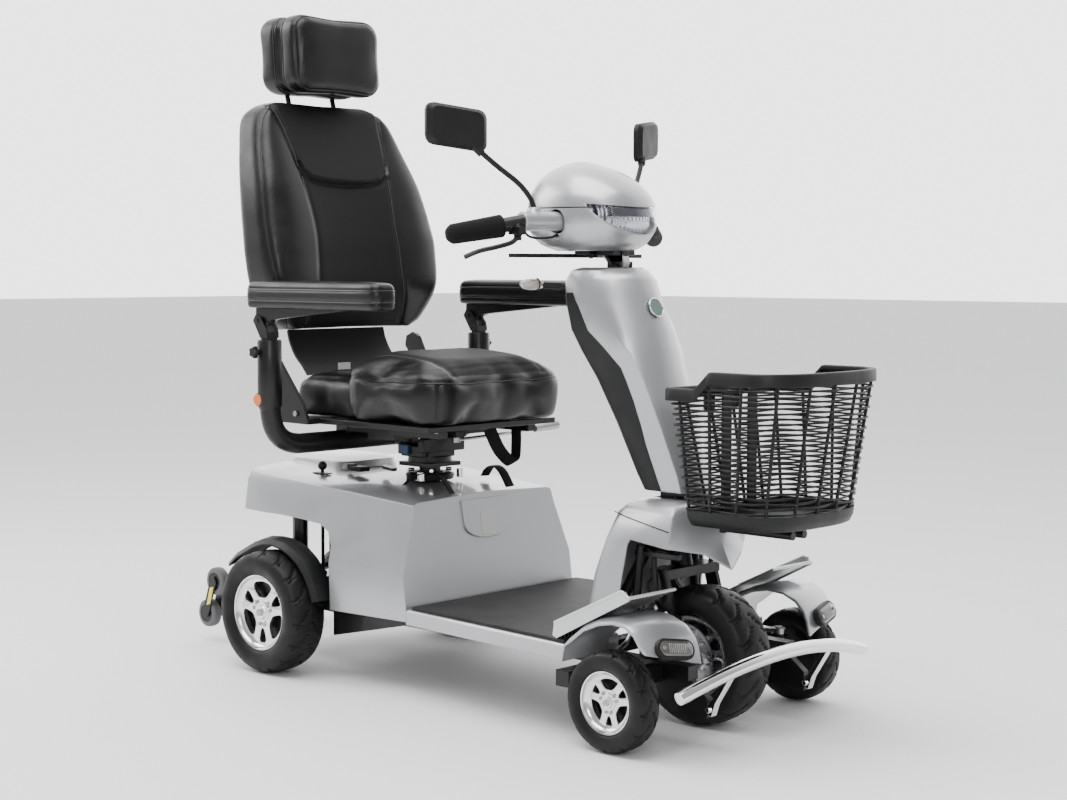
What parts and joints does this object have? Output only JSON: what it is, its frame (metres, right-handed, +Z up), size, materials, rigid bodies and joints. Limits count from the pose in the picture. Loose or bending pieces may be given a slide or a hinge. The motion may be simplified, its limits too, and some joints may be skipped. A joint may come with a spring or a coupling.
{
  "type": "mobility scooter",
  "caption": "Electric mobility scooter with a swivelling captain's seat, tilting tiller with basket and mirrors, driven rear wheels, a braked front wheel and outriggers.",
  "frame": {"origin": "middle of the whole footprint, on the ground", "axes": "+X forwards, +Y to the rider's left, +Z up"},
  "size_m": [1.7375, 0.7484, 1.508],
  "materials": {
    "silver_paint": "silver metallic gloss",
    "black_paint": "black satin powder coat",
    "black_plastic": "black textured",
    "black_vinyl": "black grained vinyl",
    "tyre_rubber": "black rubber",
    "deck_rubber": "dark grey ribbed",
    "alloy": "machined and polished",
    "chrome": "polished",
    "plate_aluminium": "brushed and perforated",
    "dark_steel": "dark satin",
    "lamp_lens": "clear",
    "grey_rubber": "mid grey",
    "battery_case": "dark grey"
  },
  "bodies": {
    "chassis": {"main_frame": "black_paint", "rear_fairing": "silver_paint", "battery_cover": "silver_paint", "floor_moulding": "silver_paint", "deck_mat": "deck_rubber", "front_hood": "silver_paint", "bumper": "chrome", "mudguard_left": "black_plastic", "mudguard_right": "black_plastic", "battery_left": "battery_case", "battery_right": "battery_case", "transaxle": "dark_steel", "footplate_left": "plate_aluminium", "footplate_right": "plate_aluminium", "anti_tip_bracket": "black_paint"},
    "freewheel": {"freewheel_lever": "black_plastic"},
    "tip_upper": {"anti_tip_wheels_upper": "grey_rubber"},
    "tip_lower": {"anti_tip_wheels_lower": "grey_rubber"},
    "rear_wheel_left": {"rear_tyre_left": "tyre_rubber", "rear_rim_left": "alloy"},
    "rear_wheel_right": {"rear_tyre_right": "tyre_rubber", "rear_rim_right": "alloy"},
    "fork": {"front_fork": "black_paint"},
    "centre_wheel": {"centre_tyre": "tyre_rubber", "centre_rim": "alloy"},
    "knuckle_left": {"knuckle_left": "dark_steel"},
    "knuckle_right": {"knuckle_right": "dark_steel"},
    "front_wheel_left": {"front_tyre_left": "tyre_rubber", "front_rim_left": "alloy"},
    "front_wheel_right": {"front_tyre_right": "tyre_rubber", "front_rim_right": "alloy"},
    "tie_rod_left": {"tie_rod_left": "dark_steel"},
    "tie_rod_right": {"tie_rod_right": "dark_steel"},
    "tiller": {"tiller_column": "black_paint", "tiller_shell": "silver_paint", "tiller_panel": "black_plastic", "basket": "black_plastic", "indicator_left": "lamp_lens", "indicator_right": "lamp_lens"},
    "head": {"head_base": "silver_paint", "head_cover": "silver_paint", "headlamp": "lamp_lens", "handlebar": "black_plastic"},
    "brake": {"brake_lever": "black_paint"},
    "throttle": {"throttle_lever": "black_plastic"},
    "mirror_left": {"mirror_left": "black_plastic"},
    "mirror_right": {"mirror_right": "black_plastic"},
    "speed_knob": {"speed_knob": "black_plastic"},
    "seat_post": {"seat_post": "black_paint"},
    "swivel_lever": {"swivel_lever": "black_paint"},
    "swivel": {"swivel_base": "black_paint"},
    "slide_lever": {"slide_lever": "dark_steel"},
    "seat": {"seat_frame": "black_paint", "seat_cushion": "black_vinyl"},
    "backrest": {"backrest": "black_vinyl"},
    "headrest": {"headrest": "black_vinyl"},
    "armrest_post_left": {"armrest_post_left": "black_paint"},
    "armrest_post_right": {"armrest_post_right": "black_paint"},
    "armrest_left": {"armrest_left": "black_vinyl"},
    "armrest_right": {"armrest_right": "black_vinyl"}
  },
  "joints": [
    {"name": "rear_wheel_left_spin", "type": "hinge", "parent": "chassis", "child": "rear_wheel_left", "pos_m": [-0.461, 0.2945, 0.1386], "axis": [0, 1, 0], "continuous": true},
    {"name": "rear_wheel_right_spin", "type": "hinge", "parent": "chassis", "child": "rear_wheel_right", "pos_m": [-0.461, -0.2945, 0.1386], "axis": [0, 1, 0], "continuous": true},
    {"name": "steering", "type": "hinge", "parent": "chassis", "child": "fork", "pos_m": [0.469, 0, 0.425], "axis": [-0.2419, 0, 0.9703], "range_deg": [-25, 25]},
    {"name": "centre_wheel_spin", "type": "hinge", "parent": "fork", "child": "centre_wheel", "pos_m": [0.547, 0, 0.1405], "axis": [0, 1, 0], "continuous": true},
    {"name": "knuckle_left_turn", "type": "hinge", "parent": "chassis", "child": "knuckle_left", "pos_m": [0.563, 0.235, 0.13], "axis": [0, 0, 1], "range_deg": [-25, 25]},
    {"name": "front_wheel_left_spin", "type": "hinge", "parent": "knuckle_left", "child": "front_wheel_left", "pos_m": [0.563, 0.301, 0.098], "axis": [0, 1, 0], "continuous": true},
    {"name": "tie_rod_left_turn", "type": "hinge", "parent": "knuckle_left", "child": "tie_rod_left", "pos_m": [0.508, 0.235, 0.17], "axis": [0, 0, 1], "range_deg": [-25, 25]},
    {"name": "knuckle_right_turn", "type": "hinge", "parent": "chassis", "child": "knuckle_right", "pos_m": [0.563, -0.235, 0.13], "axis": [0, 0, 1], "range_deg": [-25, 25]},
    {"name": "front_wheel_right_spin", "type": "hinge", "parent": "knuckle_right", "child": "front_wheel_right", "pos_m": [0.563, -0.301, 0.098], "axis": [0, 1, 0], "continuous": true},
    {"name": "tie_rod_right_turn", "type": "hinge", "parent": "knuckle_right", "child": "tie_rod_right", "pos_m": [0.508, -0.235, 0.17], "axis": [0, 0, 1], "range_deg": [-25, 25]},
    {"name": "tiller_tilt", "type": "hinge", "parent": "fork", "child": "tiller", "pos_m": [0.469, 0, 0.434], "axis": [0, 1, 0], "range_deg": [-12, 0]},
    {"name": "head_tilt", "type": "hinge", "parent": "tiller", "child": "head", "pos_m": [0.323, 0, 0.918], "axis": [0, -1, 0], "range_deg": [-12, 12]},
    {"name": "brake_pull", "type": "hinge", "parent": "head", "child": "brake", "pos_m": [0.229, -0.213, 0.979], "axis": [0, 0, -1], "range_deg": [0, 15], "stiffness_Nm_per_rad": 3, "springref_deg": -8.59},
    {"name": "throttle_turn", "type": "hinge", "parent": "head", "child": "throttle", "pos_m": [0.239, 0, 0.942], "axis": [0, 0, 1], "range_deg": [-10, 10], "stiffness_Nm_per_rad": 1.5},
    {"name": "mirror_left_turn", "type": "hinge", "parent": "head", "child": "mirror_left", "pos_m": [0.225, 0.16, 1.037], "axis": [0, 0, 1], "range_deg": [-30, 30]},
    {"name": "mirror_right_turn", "type": "hinge", "parent": "head", "child": "mirror_right", "pos_m": [0.225, -0.16, 1.037], "axis": [0, 0, 1], "range_deg": [-30, 30]},
    {"name": "speed_knob_turn", "type": "hinge", "parent": "head", "child": "speed_knob", "pos_m": [0.1135, 0, 1.084], "axis": [-0.8548, 0, 0.5189], "range_deg": [-135, 135]},
    {"name": "seat_height", "type": "slide", "parent": "chassis", "child": "seat_post", "axis": [0, 0, 1], "range_m": [0, 0.04]},
    {"name": "swivel_lever_pull", "type": "hinge", "parent": "seat_post", "child": "swivel_lever", "pos_m": [-0.289, -0.045, 0.456], "axis": [0, 0, 1], "range_deg": [-15, 15], "stiffness_Nm_per_rad": 1.2},
    {"name": "seat_swivel", "type": "hinge", "parent": "seat_post", "child": "swivel", "pos_m": [-0.25, 0, 0.48], "axis": [0, 0, 1], "range_deg": [-90, 90]},
    {"name": "slide_lever_pull", "type": "hinge", "parent": "swivel", "child": "slide_lever", "pos_m": [-0.175, 0.012, 0.525], "axis": [0, 0, 1], "range_deg": [-12, 12], "stiffness_Nm_per_rad": 1.2},
    {"name": "seat_slide", "type": "slide", "parent": "swivel", "child": "seat", "axis": [1, 0, 0], "range_m": [-0.08, 0.02]},
    {"name": "backrest_fold", "type": "hinge", "parent": "seat", "child": "backrest", "pos_m": [-0.551, 0, 0.73], "axis": [0, 1, 0], "range_deg": [-15, 50]},
    {"name": "headrest_height", "type": "slide", "parent": "backrest", "child": "headrest", "axis": [-0.2873, 0, 0.9578], "range_m": [0, 0.06]},
    {"name": "armrest_height_left", "type": "slide", "parent": "seat", "child": "armrest_post_left", "axis": [0, 0, 1], "range_m": [0, 0.05]},
    {"name": "armrest_flip_left", "type": "hinge", "parent": "armrest_post_left", "child": "armrest_left", "pos_m": [-0.441, 0.33, 0.798], "axis": [0, -1, 0], "range_deg": [0, 90]},
    {"name": "armrest_height_right", "type": "slide", "parent": "seat", "child": "armrest_post_right", "axis": [0, 0, 1], "range_m": [0, 0.05]},
    {"name": "armrest_flip_right", "type": "hinge", "parent": "armrest_post_right", "child": "armrest_right", "pos_m": [-0.441, -0.33, 0.798], "axis": [0, -1, 0], "range_deg": [0, 90]},
    {"name": "freewheel_turn", "type": "hinge", "parent": "chassis", "child": "freewheel", "pos_m": [-0.443, -0.158, 0.21], "axis": [0, 1, 0], "range_deg": [-4, 4]},
    {"name": "anti_tip_upper_spin", "type": "hinge", "parent": "chassis", "child": "tip_upper", "pos_m": [-0.802, 0, 0.152], "axis": [0, 1, 0], "continuous": true},
    {"name": "anti_tip_lower_spin", "type": "hinge", "parent": "chassis", "child": "tip_lower", "pos_m": [-0.835, 0, 0.07], "axis": [0, 1, 0], "continuous": true}
  ],
  "couplings": [
    {"joint": "knuckle_left_turn", "follows": "steering", "ratio": 1},
    {"joint": "tie_rod_left_turn", "follows": "steering", "ratio": -1},
    {"joint": "knuckle_right_turn", "follows": "steering", "ratio": 1},
    {"joint": "tie_rod_right_turn", "follows": "steering", "ratio": -1}
  ]
}
